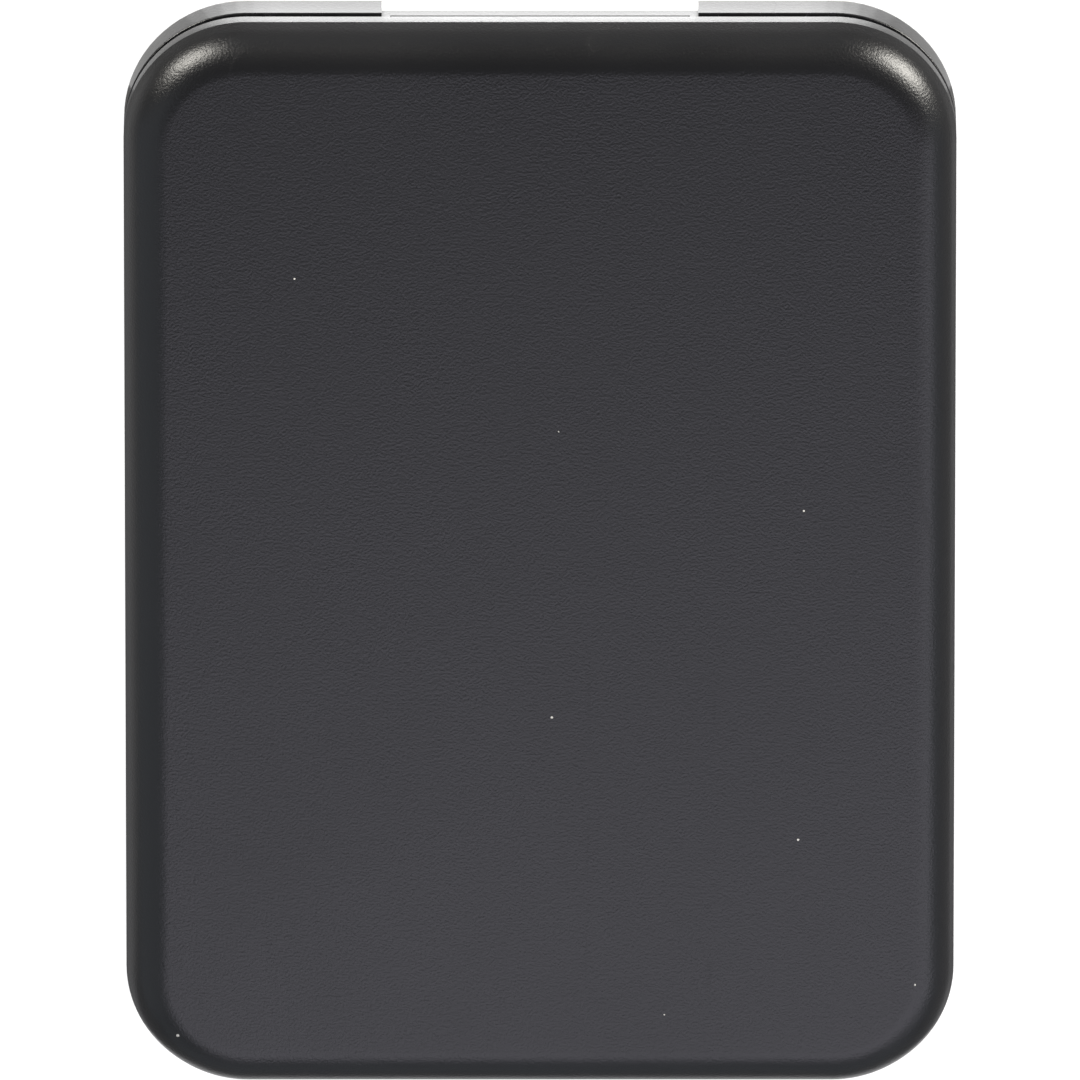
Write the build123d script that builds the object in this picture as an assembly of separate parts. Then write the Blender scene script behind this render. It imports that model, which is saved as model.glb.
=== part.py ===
from build123d import *
import math
import os

# Pocket logic analyzer: a slim two-shell case that lies flat on four rubber feet.
# X is its width, Y its length and Z its thickness, in millimetres.
# The origin is under the middle of the case, on the plane that the feet rest on.
# +Y is the end with the probe connector and -Y is the end with the USB-C socket.

# Case
case_width = 80.0
case_length = 108.4
corner_radius = 11.8
tray_height = 4.65
seam_gap = 0.9
cover_wall_height = 1.7
shoulder_height = 3.9
shoulder_width = 4.26
flank_angle = 72.0
wall = 2.0
floor_thickness = 1.6
face_thickness = 1.7
bottom_edge_radius = 1.2

# Lip of the tray that closes the seam from inside
lip_setback = 0.9
lip_overlap = 1.2
lip_clearance = 0.1
lip_headroom = 0.2

# End bays and the panels that close them
bay_depth = 1.39
bay_land = 0.8
port_side_wall = 1.28
button_side_wall = 1.7
panel_thickness = 1.8
panel_clearance = 0.1
panel_flange = 1.6
panel_rib_width = 1.2
panel_rib_depth = 0.9

# Feet and label
foot_diameter = 10.0
foot_stand = 0.8
foot_recess = 0.5
foot_edge_radius = 0.35
foot_inset_x = 14.0
foot_inset_y = 20.0
foot_clearance = 0.15
label_width = 34.0
label_length = 22.0
label_thickness = 0.2
label_recess = 0.25
label_corner = 1.5
label_clearance = 0.15

# Case screws and their threaded inserts
screw_inset = 7.5
screw_diameter = 2.5
screw_length = 5.5
screw_head_diameter = 4.5
screw_head_height = 1.5
screw_socket_size = 2.0
screw_socket_depth = 0.9
counterbore_diameter = 5.0
counterbore_depth = 1.7
screw_hole_clearance = 0.3
thread_clearance = 0.1
insert_diameter = 3.8
insert_length = 3.5
insert_sink = 0.1
insert_groove_width = 0.6
insert_groove_depth = 0.25
pillar_diameter = 6.4
pillar_tip_room = 0.6
boss_diameter = 7.0

# Circuit board
board_thickness = 1.2
board_side_gap = 1.4
board_panel_gap = 0.42
board_standoff = 1.3
board_notch_clearance = 0.4
support_post_diameter = 3.0
support_post_spread = 44.0
sheet_thickness = 0.2
sheet_boss_clearance = 0.5

# Probe connector: two rows of square pins inside the panel's shroud
pin_pitch = 1.27
pin_columns = 20
pin_width = 0.4
pin_reach = 4.2
pin_tip_setback = 1.2
pin_tail_length = 1.8
header_height = 2.54
header_depth = 1.6
header_board_gap = 0.2
plug_room = 0.42
port_height = 3.4
shroud_side_wall = 0.8
shroud_header_gap = 0.2

# USB-C socket
usb_width = 8.94
usb_height = 3.16
usb_length = 7.3
usb_shell_wall = 0.3
usb_mouth_setback = 0.2
usb_slot_clearance = 0.18
usb_tongue_width = 6.69
usb_tongue_thickness = 0.7
usb_tongue_setback = 0.8
usb_base_depth = 1.9
usb_tab_size = 1.3
usb_tab_thickness = 0.25
usb_tab_spacing = 4.0
usb_contact_count = 12
usb_contact_pitch = 0.5
usb_contact_width = 0.25
usb_contact_thickness = 0.06
usb_contact_length = 3.4
usb_board_gap = 0.45

# Capture button and its switch
usb_button_gap = 4.03
button_width = 6.0
button_height = 2.6
button_rise = 0.1
button_corner = 1.0
button_clearance = 0.15
button_proud = 0.5
button_travel = 0.35
button_rim = 0.6
button_rim_thickness = 0.67
button_rest_gap = 0.05
button_edge_radius = 0.2
switch_width = 4.6
switch_depth = 3.4
switch_height = 1.7
switch_gap = 1.0
plunger_width = 2.4
plunger_height = 0.9
plunger_grip = 0.7
plunger_clearance = 0.05

# Status light
usb_light_gap = 5.73
light_rise = 0.8
light_pipe_diameter = 1.6
light_pipe_proud = 0.12
light_collar_diameter = 2.6
light_collar_thickness = 0.3
light_clearance = 0.05
led_width = 1.6
led_depth = 1.2
led_height = 0.9
led_gap = 0.2

# Parts on the board: length along X, length along Y, height
fpga_size = (17.0, 17.0, 1.4)
fpga_y = 2.0
pad_size = (16.0, 16.0, 0.8)
heat_sink_size = (24.0, 24.0)
heat_sink_base = 1.2
heat_sink_top_gap = 0.4
heat_sink_fins = 8
heat_sink_fin_thickness = 1.0
memory_size = (9.0, 13.0, 1.1)
flash_size = (4.9, 3.9, 1.5)
side_gap = 5.0
usb_chip_size = (10.0, 10.0, 1.1)
usb_chip_gap = 12.0
crystal_size = (3.2, 2.5, 0.8)
oscillator_size = (5.0, 3.2, 1.1)
lid_rim = 0.3
lid_step = 0.15
buffer_count = 4
buffer_size = (8.1, 4.4, 1.1)
buffer_gap = 9.0
buffer_legs = 12
leg_pitch = 0.65
leg_width = 0.25
leg_reach = 0.9
leg_thickness = 0.15
array_count = 9
resistor_array_size = (2.0, 1.25, 0.5)
resistor_array_gap = 6.0
surge_array_size = (1.6, 1.0, 0.55)
surge_array_gap = 3.4
regulator_size = (3.0, 3.0, 0.9)
inductor_size = (4.0, 4.0, 2.0)
inductor_corner = 0.8
tantalum_size = (2.8, 3.5, 1.9)
supply_count = 3
supply_pitch = 6.0
supply_column_gap = 1.4
supply_side_gap = 3.5
supply_end_gap = 12.5
ceramic_size = (1.0, 0.5, 0.5)
ceramic_ring_gap = 1.5
ceramic_per_side = 6

# Heights worked out from the sizes above
tray_bottom = foot_stand
floor_top = tray_bottom + floor_thickness
tray_rim = tray_bottom + tray_height
cover_rim = tray_rim + seam_gap
cover_crease = cover_rim + cover_wall_height
cover_top = cover_crease + shoulder_height
ceiling = cover_top - face_thickness
lip_top = cover_rim + lip_overlap
board_bottom = floor_top + board_standoff
board_top = board_bottom + board_thickness
board_middle = (board_bottom + board_top) / 2

# Places worked out from the sizes above
half_width = case_width / 2
half_length = case_length / 2
bay_face = half_length - bay_depth
panel_back = bay_face - panel_thickness
inner_end = half_length - wall
board_half_width = half_width - wall - board_side_gap
board_half_length = panel_back - board_panel_gap
screw_x = half_width - screw_inset
screw_y = half_length - screw_inset - 0.5
screw_places = [(sx * screw_x, sy * screw_y) for sx in (-1, 1) for sy in (-1, 1)]
screw_seat = tray_bottom + counterbore_depth
port_width = pin_columns * pin_pitch + 2 * plug_room
probe_bay_width = port_width + 2 * (port_side_wall + bay_land)
header_width = pin_columns * pin_pitch + pin_width
pin_tip = bay_face - pin_tip_setback
header_front = pin_tip - pin_reach
header_back = header_front - header_depth
header_edge = header_back - header_board_gap
shroud_end = header_front + shroud_header_gap
shroud_half_width = port_width / 2 + shroud_side_wall
usb_mouth = -bay_face + usb_mouth_setback
usb_back = usb_mouth + usb_length
button_x = usb_width / 2 + usb_button_gap + button_width / 2
usb_bay_width = 2 * (button_x + button_width / 2 + button_side_wall + bay_land)
button_z = board_middle + button_rise
button_rim_front = -panel_back + button_rest_gap
button_rim_back = button_rim_front + button_rim_thickness
switch_front = button_rim_back + switch_gap
switch_z = board_top + switch_height / 2
light_x = -(usb_width / 2 + usb_light_gap + light_pipe_diameter / 2)
light_z = board_middle + light_rise
light_end = -board_half_length - light_clearance


def block(low, high):
    """Box between two opposite corners."""
    size = [b - a for a, b in zip(low, high)]
    middle = [(a + b) / 2 for a, b in zip(low, high)]
    return Pos(*middle) * Box(*size)


def upright(diameter, x, y, z_low, z_high):
    """Cylinder along Z."""
    return Pos(x, y, (z_low + z_high) / 2) * Cylinder(diameter / 2, z_high - z_low)


def slab(width, length, radius, z_low, z_high):
    """Upright prism on a rounded rectangle centred on the Z axis."""
    return Pos(0, 0, z_low) * extrude(RectangleRounded(width, length, radius), z_high - z_low)


def end_tube(width, height, radius, x, z, y_low, y_high):
    """Prism along Y with a rounded rectangular section."""
    outline = Plane.XZ * Pos(x, z) * RectangleRounded(width, height, radius)
    return Pos(0, y_high, 0) * extrude(outline, y_high - y_low)


def chip(size, x, y, z=board_top):
    """Plain package that sits on the board."""
    return block((x - size[0] / 2, y - size[1] / 2, z), (x + size[0] / 2, y + size[1] / 2, z + size[2]))


def outline_path(width, length, radius, z):
    """Closed rounded rectangle that starts in the middle of its +X side."""
    x, y = width / 2, length / 2
    a, b = x - radius, y - radius
    edges = [
        Line((x, 0), (x, b)),
        CenterArc((a, b), radius, 0, 90),
        Line((a, y), (-a, y)),
        CenterArc((-a, b), radius, 90, 90),
        Line((-x, b), (-x, -b)),
        CenterArc((-a, -b), radius, 180, 90),
        Line((-a, -y), (a, -y)),
        CenterArc((a, -b), radius, 270, 90),
        Line((x, -b), (x, 0)),
    ]
    return Pos(0, 0, z) * Wire(edges)


def domed_slab(width, length, radius, z_low, z_crease, z_top):
    """Prism whose upper edge leans in from a crease as a flat flank and rounds over to the flat face."""
    x = width / 2
    lean = math.radians(flank_angle)
    room = shoulder_width * math.tan(lean) - (z_top - z_crease)
    round_over = room / (math.sin(lean) * math.tan(lean) - 1 + math.cos(lean))
    ring = (shoulder_width + radius) / 2
    arc = CenterArc((x - shoulder_width, z_top - round_over), round_over, 90 - flank_angle, flank_angle)
    rest = Polyline(arc @ 1, (x - ring, z_top), (x - ring, z_low), (x, z_low), (x, z_crease), arc @ 0)
    section = Plane.XZ * make_face([arc, *rest.edges()])
    edge = sweep(section, path=outline_path(width, length, radius, z_crease))
    middle = slab(width - 2 * ring, length - 2 * ring, radius - ring, z_low, z_top)
    return edge + middle


def at_screws(diameter, z_low, z_high):
    """One cylinder at each case screw."""
    return [upright(diameter, x, y, z_low, z_high) for x, y in screw_places]


def foot_places():
    """Name, X and Y of each foot, seen from above with the USB end towards the viewer."""
    x, y = half_width - foot_inset_x, half_length - foot_inset_y
    return [
        ("foot_front_left", -x, y),
        ("foot_front_right", x, y),
        ("foot_rear_left", -x, -y),
        ("foot_rear_right", x, -y),
    ]


def end_bay(bay_width):
    """What an end bay takes out of the tray at +Y: the shallow recess and the panel's window."""
    window = bay_width / 2 - bay_land
    beyond = half_length + 1
    recess = block((-bay_width / 2, bay_face, tray_bottom - 1), (bay_width / 2, beyond, lip_top + 1))
    opening = block((-window, inner_end - 1, floor_top), (window, beyond, lip_top + 1))
    return [recess, opening]


def panel_ribs(bay_width):
    """Two short ribs on the floor that hold the panel's flanges against the end wall at +Y."""
    window = bay_width / 2 - bay_land
    back = panel_back - panel_clearance
    high = board_bottom - panel_clearance
    ribs = []
    for side in (-1, 1):
        x = side * (window + panel_flange / 2)
        low_corner = (x - panel_rib_width / 2, back - panel_rib_depth, floor_top - 0.5)
        ribs.append(block(low_corner, (x + panel_rib_width / 2, back, high)))
    return ribs


def make_tray():
    """Lower shell: floor, wall, seam lip, screw bosses and the two end bays."""
    body = slab(case_width, case_length, corner_radius, tray_bottom, tray_rim)
    body = fillet(body.edges().group_by(Axis.Z)[0], bottom_edge_radius)
    lip_width, lip_length = case_width - 2 * lip_setback, case_length - 2 * lip_setback
    body += slab(lip_width, lip_length, corner_radius - lip_setback, tray_rim - 0.5, lip_top)
    cavity_radius = corner_radius - wall
    body -= slab(case_width - 2 * wall, case_length - 2 * wall, cavity_radius, floor_top, lip_top + 1)
    body += at_screws(boss_diameter, floor_top - 0.5, board_bottom)
    for side in (-1, 1):
        x = side * support_post_spread / 2
        body += upright(support_post_diameter, x, 0, floor_top - 0.5, board_bottom)
    turn = Rot(0, 0, 180)
    body += panel_ribs(probe_bay_width) + [turn * rib for rib in panel_ribs(usb_bay_width)]
    body -= end_bay(probe_bay_width) + [turn * cut for cut in end_bay(usb_bay_width)]
    body -= at_screws(screw_diameter + screw_hole_clearance, tray_bottom - 1, board_bottom + 1)
    body -= at_screws(counterbore_diameter, tray_bottom - 1, screw_seat)
    recess_diameter = foot_diameter + 2 * foot_clearance
    for _, x, y in foot_places():
        body -= upright(recess_diameter, x, y, tray_bottom - 1, tray_bottom + foot_recess)
    gap = 2 * label_clearance
    label_room = slab(label_width + gap, label_length + gap, label_corner, tray_bottom - 1,
                      tray_bottom + label_recess)
    return body - label_room


def make_cover():
    """Upper shell: flat face, leaning shoulder, short wall and the pillars that take the inserts."""
    body = domed_slab(case_width, case_length, corner_radius, cover_rim, cover_crease, cover_top)
    cavity_crease = cover_crease - face_thickness
    body -= domed_slab(case_width - 2 * wall, case_length - 2 * wall, corner_radius - wall,
                       cover_rim - 1, cavity_crease, ceiling)
    skin = lip_setback - lip_clearance
    body -= slab(case_width - 2 * skin, case_length - 2 * skin, corner_radius - skin,
                 cover_rim - 1, lip_top + lip_headroom)
    body += at_screws(pillar_diameter, board_top, ceiling + 0.5)
    insert_end = board_top + insert_sink + insert_length
    body -= at_screws(insert_diameter, board_top - 1, insert_end)
    body -= at_screws(screw_diameter + screw_hole_clearance, insert_end, insert_end + pillar_tip_room)
    return body


def blank_panel(bay_width):
    """Panel at +Y before its openings are cut: a plate in the window with a flange behind each side."""
    window = bay_width / 2 - bay_land - panel_clearance
    low, high = floor_top + panel_clearance / 2, lip_top
    plate = block((-window, panel_back, low), (window, bay_face, high))
    flange_front = inner_end - panel_clearance / 2
    reach = window + panel_flange
    return plate + block((-reach, panel_back, low), (reach, flange_front, high))


def make_probe_panel():
    """End panel of the probe connector, with a shroud that guides the plug on to the pins."""
    panel = blank_panel(probe_bay_width)
    low = floor_top + panel_clearance / 2
    high = board_middle + port_height / 2 + shroud_side_wall
    panel += block((-shroud_half_width, shroud_end, low), (shroud_half_width, panel_back + 0.5, high))
    port = block((-port_width / 2, shroud_end - 1, board_middle - port_height / 2),
                 (port_width / 2, bay_face + 1, board_middle + port_height / 2))
    return panel - port


def make_usb_panel():
    """End panel with the USB-C slot, the status light's hole and the capture button's hole."""
    panel = Rot(0, 0, 180) * blank_panel(usb_bay_width)
    front, back = -bay_face - 1, -panel_back + 1
    slot_width, slot_height = usb_width + 2 * usb_slot_clearance, usb_height + 2 * usb_slot_clearance
    panel -= end_tube(slot_width, slot_height, slot_height / 2 - 0.01, 0, board_middle, front, back)
    hole_width, hole_height = button_width + 2 * button_clearance, button_height + 2 * button_clearance
    panel -= end_tube(hole_width, hole_height, button_corner + button_clearance, button_x, button_z,
                      front, back)
    pipe_hole = Plane.XZ * Pos(light_x, light_z) * Circle(light_pipe_diameter / 2 + light_clearance)
    return panel - Pos(0, back, 0) * extrude(pipe_hole, back - front)


def make_screw(x, y):
    """Case screw with a hexagon socket, driven up from under the tray."""
    head_bottom = screw_seat - screw_head_height
    head = upright(screw_head_diameter, x, y, head_bottom, screw_seat)
    head = fillet(head.edges().group_by(Axis.Z)[0], 0.3)
    shank = upright(screw_diameter, x, y, screw_seat, screw_seat + screw_length)
    shank = chamfer(shank.edges().group_by(Axis.Z)[-1], 0.3)
    socket = extrude(RegularPolygon(screw_socket_size / 2, 6, major_radius=False), screw_socket_depth)
    return head + shank - Pos(x, y, head_bottom) * socket


def make_insert(x, y):
    """Brass insert pressed into a pillar, with a groove round its middle."""
    low = board_top + insert_sink
    high = low + insert_length
    middle = (low + high) / 2
    body = upright(insert_diameter, x, y, low, high)
    groove = upright(insert_diameter + 1, x, y, middle - insert_groove_width / 2,
                     middle + insert_groove_width / 2)
    core = upright(insert_diameter - 2 * insert_groove_depth, x, y, low, high)
    body -= groove - core
    return body - upright(screw_diameter + thread_clearance, x, y, low - 1, high + 1)


def make_foot(x, y):
    """Round rubber foot glued into its recess."""
    foot = upright(foot_diameter, x, y, 0, foot_stand + foot_recess)
    return fillet(foot.edges().group_by(Axis.Z)[0], foot_edge_radius)


def make_label():
    """Blank label stuck into its recess under the tray."""
    low = tray_bottom + label_recess - label_thickness
    return slab(label_width, label_length, label_corner - label_clearance, low, low + label_thickness)


def make_sheet():
    """Insulating sheet that lies on the floor, under the board and between the bosses."""
    reach_x = screw_x - boss_diameter / 2 - sheet_boss_clearance
    reach_y = screw_y - sheet_boss_clearance
    sheet = slab(2 * reach_x, 2 * reach_y, label_corner, floor_top, floor_top + sheet_thickness)
    room = support_post_diameter + 2 * sheet_boss_clearance
    for side in (-1, 1):
        sheet -= upright(room, side * support_post_spread / 2, 0, floor_top - 1, board_bottom)
    return sheet


def make_board():
    """Circuit board with notches for the probe shroud, the USB-C socket and the button."""
    board_radius = corner_radius - wall - board_side_gap
    board = slab(2 * board_half_width, 2 * board_half_length, board_radius, board_bottom, board_top)
    board -= at_screws(screw_diameter + screw_hole_clearance, board_bottom - 1, board_top + 1)
    shroud_room = shroud_half_width + board_notch_clearance
    low, high = board_bottom - 1, board_top + 1
    beyond = board_half_length + 1
    board -= block((-shroud_room, header_edge, low), (shroud_room, beyond, high))
    usb_room = usb_width / 2 + usb_board_gap
    board -= block((-usb_room, -beyond, low), (usb_room, usb_back + usb_board_gap, high))
    rim_room = button_width / 2 + button_rim + board_notch_clearance
    rim_end = button_rim_back + button_travel + board_notch_clearance
    return board - block((button_x - rim_room, -beyond, low), (button_x + rim_room, rim_end, high))


def pin_section(row):
    """Side view of one probe pin, in Y and Z: a straight pin and a tail that lies on the board."""
    z = board_middle + row * pin_pitch / 2
    face = board_middle + row * board_thickness / 2
    near, far = z - row * pin_width / 2, z + row * pin_width / 2
    tail_far = face + row * pin_width
    tail = header_edge - pin_tail_length
    return [(pin_tip, near), (pin_tip, far), (header_back + pin_width, far), (header_edge, tail_far),
            (tail, tail_far), (tail, face), (header_edge, face), (header_back, near)]


def make_pins():
    """Both rows of gold-plated pins."""
    first = -(pin_columns - 1) / 2 * pin_pitch
    pins = []
    for row in (-1, 1):
        outline = Plane.YZ * make_face(Polyline(*pin_section(row), close=True))
        for column in range(pin_columns):
            pins.append(Pos(first + column * pin_pitch - pin_width / 2, 0, 0) * extrude(outline, pin_width))
    return pins


def make_header(pins):
    """Insulating block that the probe pins pass through."""
    low, high = board_middle - header_height / 2, board_middle + header_height / 2
    body = block((-header_width / 2, header_back, low), (header_width / 2, header_front, high))
    return body - pins


def make_usb_shell():
    """Drawn steel shell of the USB-C socket, with four tabs soldered to the board."""
    radius = usb_height / 2 - 0.01
    shell = end_tube(usb_width, usb_height, radius, 0, board_middle, usb_mouth, usb_back)
    reach = usb_width / 2 + usb_tab_size
    for along in (-1, 1):
        y = (usb_mouth + usb_back) / 2 + along * usb_tab_spacing / 2
        y = max(y, -board_half_length + usb_tab_size)
        shell += block((-reach, y - usb_tab_size / 2, board_top),
                       (reach, y + usb_tab_size / 2, board_top + usb_tab_thickness))
    inner_width, inner_height = usb_width - 2 * usb_shell_wall, usb_height - 2 * usb_shell_wall
    inside = end_tube(inner_width, inner_height, inner_height / 2 - 0.01, 0, board_middle,
                      usb_mouth - 1, usb_back + 1)
    return shell - inside


def make_usb_tongue():
    """Plastic base that closes the shell's back, with the tongue that carries the contacts."""
    inner_width, inner_height = usb_width - 2 * usb_shell_wall, usb_height - 2 * usb_shell_wall
    base = end_tube(inner_width, inner_height, inner_height / 2 - 0.01, 0, board_middle,
                    usb_back - usb_base_depth, usb_back)
    tongue = block((-usb_tongue_width / 2, usb_mouth + usb_tongue_setback,
                    board_middle - usb_tongue_thickness / 2),
                   (usb_tongue_width / 2, usb_back - usb_base_depth / 2,
                    board_middle + usb_tongue_thickness / 2))
    return base + tongue


def make_usb_contacts():
    """Twelve flat contacts on each side of the tongue."""
    first = -(usb_contact_count - 1) / 2 * usb_contact_pitch
    y_low = usb_back - usb_base_depth - usb_contact_length
    contacts = []
    for side in (-1, 1):
        z = board_middle + side * (usb_tongue_thickness + usb_contact_thickness) / 2
        for index in range(usb_contact_count):
            x = first + index * usb_contact_pitch
            contacts.append(Pos(x, y_low + usb_contact_length / 2, z)
                            * Box(usb_contact_width, usb_contact_length, usb_contact_thickness))
    return contacts


def make_button():
    """Capture button: a cap in the panel's hole and a rim that keeps it from falling out."""
    cap = end_tube(button_width, button_height, button_corner, button_x, button_z,
                   -bay_face - button_proud, button_rim_back)
    cap = fillet(cap.edges().group_by(Axis.Y)[0], button_edge_radius)
    rim_width, rim_height = button_width + 2 * button_rim, button_height + 2 * button_rim
    return cap + end_tube(rim_width, rim_height, button_corner, button_x, button_z,
                          button_rim_front, button_rim_back)


def make_plunger():
    """Plunger of the switch, which the button pushes."""
    return block((button_x - plunger_width / 2, button_rim_back, switch_z - plunger_height / 2),
                 (button_x + plunger_width / 2, switch_front + plunger_grip, switch_z + plunger_height / 2))


def make_switch():
    """Side-pushed switch on the board, hollow behind its plunger."""
    half = switch_width / 2
    body = block((button_x - half, switch_front, board_top),
                 (button_x + half, switch_front + switch_depth, board_top + switch_height))
    room_x, room_z = plunger_width / 2 + plunger_clearance, plunger_height / 2 + plunger_clearance
    depth = plunger_grip + button_travel + plunger_clearance
    return body - block((button_x - room_x, switch_front - 1, switch_z - room_z),
                        (button_x + room_x, switch_front + depth, switch_z + room_z))


def make_light_pipe():
    """Clear light pipe with a collar behind the panel."""
    front = -bay_face - light_pipe_proud
    rod = Plane.XZ * Pos(light_x, light_z) * Circle(light_pipe_diameter / 2)
    pipe = Pos(0, light_end, 0) * extrude(rod, light_end - front)
    pipe = fillet(pipe.edges().group_by(Axis.Y)[0], light_pipe_proud)
    collar = Plane.XZ * Pos(light_x, light_z) * Circle(light_collar_diameter / 2)
    return pipe + Pos(0, light_end, 0) * extrude(collar, light_collar_thickness)


def make_led():
    """Side-firing status light at the edge of the board, behind the light pipe."""
    front = light_end + led_gap
    return block((light_x - led_width / 2, front, board_top),
                 (light_x + led_width / 2, front + led_depth, board_top + led_height))


def make_heat_sink():
    """Aluminium heat sink with fins that run along Y."""
    width, length = heat_sink_size
    low = board_top + fpga_size[2] + pad_size[2]
    y_low, y_high = fpga_y - length / 2, fpga_y + length / 2
    sink = block((-width / 2, y_low, low), (width / 2, y_high, low + heat_sink_base))
    step = (width - heat_sink_fin_thickness) / (heat_sink_fins - 1)
    for index in range(heat_sink_fins):
        x = -width / 2 + index * step
        sink += block((x, y_low, low), (x + heat_sink_fin_thickness, y_high, ceiling - heat_sink_top_gap))
    return sink


def make_buffer(x, y):
    """Input buffer: a flat package with a row of legs on each long side."""
    body = chip(buffer_size, x, y, board_top + leg_thickness)
    first = x - (buffer_legs - 1) / 2 * leg_pitch
    reach = buffer_size[1] / 2 + leg_reach
    for index in range(buffer_legs):
        leg_x = first + index * leg_pitch
        body += block((leg_x - leg_width / 2, y - reach, board_top),
                      (leg_x + leg_width / 2, y + reach, board_top + leg_thickness))
    return body


def make_can(size, x, y):
    """Ceramic package with a raised metal lid."""
    lid = (size[0] - 2 * lid_rim, size[1] - 2 * lid_rim, lid_step)
    base = chip((size[0], size[1], size[2] - lid_step), x, y)
    return base + chip(lid, x, y, board_top + size[2] - lid_step)


def make_inductor(x, y):
    """Shielded inductor with rounded upright corners."""
    body = chip(inductor_size, x, y)
    return fillet(body.edges().filter_by(Axis.Z), inductor_corner)


def array_row(size, y):
    """Row of small parts that faces the probe connector."""
    step = port_width / array_count
    first = -(array_count - 1) / 2 * step
    return [chip(size, first + index * step, y) for index in range(array_count)]


def supply_column(size, column, maker=chip):
    """Column of power parts beside the USB end; column 0 is nearest the edge of the board."""
    x = -board_half_width + supply_side_gap + column * (inductor_size[0] + supply_column_gap)
    y = -board_half_length + supply_end_gap
    places = [(x, y + index * supply_pitch) for index in range(supply_count)]
    if maker is chip:
        return [chip(size, px, py) for px, py in places]
    return [maker(px, py) for px, py in places]


def ceramic_ring():
    """Small capacitors along the two long sides of the main chip."""
    x = fpga_size[0] / 2 + ceramic_ring_gap
    step = fpga_size[1] / ceramic_per_side
    first = fpga_y - (ceramic_per_side - 1) / 2 * step
    return [chip(ceramic_size, side * x, first + index * step)
            for side in (-1, 1) for index in range(ceramic_per_side)]


def board_parts():
    """Every package on the board, by node name."""
    pad_bottom = board_top + fpga_size[2]
    side_x = fpga_size[0] / 2 + side_gap
    usb_chip_y = usb_back + usb_chip_gap
    crystal_x = usb_chip_size[0] / 2 + side_gap
    parts = {
        "fpga_chip": [chip(fpga_size, 0, fpga_y)],
        "thermal_pad": [chip(pad_size, 0, fpga_y, pad_bottom)],
        "heat_sink": [make_heat_sink()],
        "memory_chip": [chip(memory_size, side_x + memory_size[0] / 2, fpga_y)],
        "flash_chip": [chip(flash_size, -side_x - flash_size[0] / 2, fpga_y + flash_size[1])],
        "clock_oscillator": [make_can(oscillator_size, -side_x - flash_size[0] / 2, fpga_y - flash_size[1])],
        "usb_controller_chip": [chip(usb_chip_size, 0, usb_chip_y)],
        "usb_crystal": [make_can(crystal_size, crystal_x, usb_chip_y)],
        "input_resistor_arrays": array_row(resistor_array_size, header_edge - resistor_array_gap),
        "surge_arrays": array_row(surge_array_size, header_edge - surge_array_gap),
        "voltage_regulators": supply_column(regulator_size, 2),
        "power_inductors": supply_column(inductor_size, 1, make_inductor),
        "bulk_capacitors": supply_column(tantalum_size, 0),
        "ceramic_capacitors": ceramic_ring(),
        "status_led": [make_led()],
    }
    pitch = 2 * (screw_x - pillar_diameter / 2) / buffer_count
    for index in range(buffer_count):
        x = (index - (buffer_count - 1) / 2) * pitch
        y = header_edge - buffer_gap - buffer_size[1] / 2
        parts[f"input_buffer_{index + 1}"] = [make_buffer(x, y)]
    return parts


def case_parts():
    """Shells, panels, fasteners, feet, label and sheet, by node name."""
    parts = {
        "top_cover": [make_cover()],
        "bottom_tray": [make_tray()],
        "probe_port_panel": [make_probe_panel()],
        "usb_port_panel": [make_usb_panel()],
        "case_screws": [make_screw(x, y) for x, y in screw_places],
        "threaded_inserts": [make_insert(x, y) for x, y in screw_places],
        "blank_label": [make_label()],
        "insulating_sheet": [make_sheet()],
        "main_board": [make_board()],
    }
    for name, x, y in foot_places():
        parts[name] = [make_foot(x, y)]
    return parts


def port_parts():
    """Connectors, button and light pipe, by node name."""
    pins = make_pins()
    return {
        "probe_header_pins": pins,
        "probe_header_housing": [make_header(pins)],
        "usb_socket_shell": [make_usb_shell()],
        "usb_socket_tongue": [make_usb_tongue()],
        "usb_socket_contacts": make_usb_contacts(),
        "button_cap": [make_button()],
        "switch_plunger": [make_plunger()],
        "switch_body": [make_switch()],
        "light_pipe": [make_light_pipe()],
    }


os.makedirs("parts", exist_ok=True)
for node, shapes in {**case_parts(), **port_parts(), **board_parts()}.items():
    solids = [solid for shape in shapes for solid in shape.solids()]
    piece = solids[0] if len(solids) == 1 else Compound(children=solids)
    piece.label = node
    export_step(piece, f"parts/{node}.step")
    print(node, len(solids))
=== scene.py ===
import math

import bmesh
import bpy
import numpy as np
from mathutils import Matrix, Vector


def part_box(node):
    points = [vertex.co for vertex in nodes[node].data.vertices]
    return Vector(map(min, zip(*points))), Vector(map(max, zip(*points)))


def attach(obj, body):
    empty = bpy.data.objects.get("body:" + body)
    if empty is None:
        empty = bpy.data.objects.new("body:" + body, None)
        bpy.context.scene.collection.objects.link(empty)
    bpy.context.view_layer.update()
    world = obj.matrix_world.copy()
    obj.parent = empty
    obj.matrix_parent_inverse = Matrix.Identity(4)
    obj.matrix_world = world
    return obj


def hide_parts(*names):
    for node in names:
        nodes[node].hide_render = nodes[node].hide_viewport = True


# Pocket logic analyzer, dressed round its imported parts.
# X is its width, Y its length and Z its thickness, in metres, with the feet on Z = 0.
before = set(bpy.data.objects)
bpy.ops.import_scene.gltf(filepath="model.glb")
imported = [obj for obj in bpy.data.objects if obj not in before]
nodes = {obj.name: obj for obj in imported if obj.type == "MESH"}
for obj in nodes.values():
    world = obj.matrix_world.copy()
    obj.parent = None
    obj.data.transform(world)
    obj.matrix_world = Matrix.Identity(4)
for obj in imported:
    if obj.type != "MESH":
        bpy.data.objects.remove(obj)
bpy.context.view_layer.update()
mm = 0.001


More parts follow.
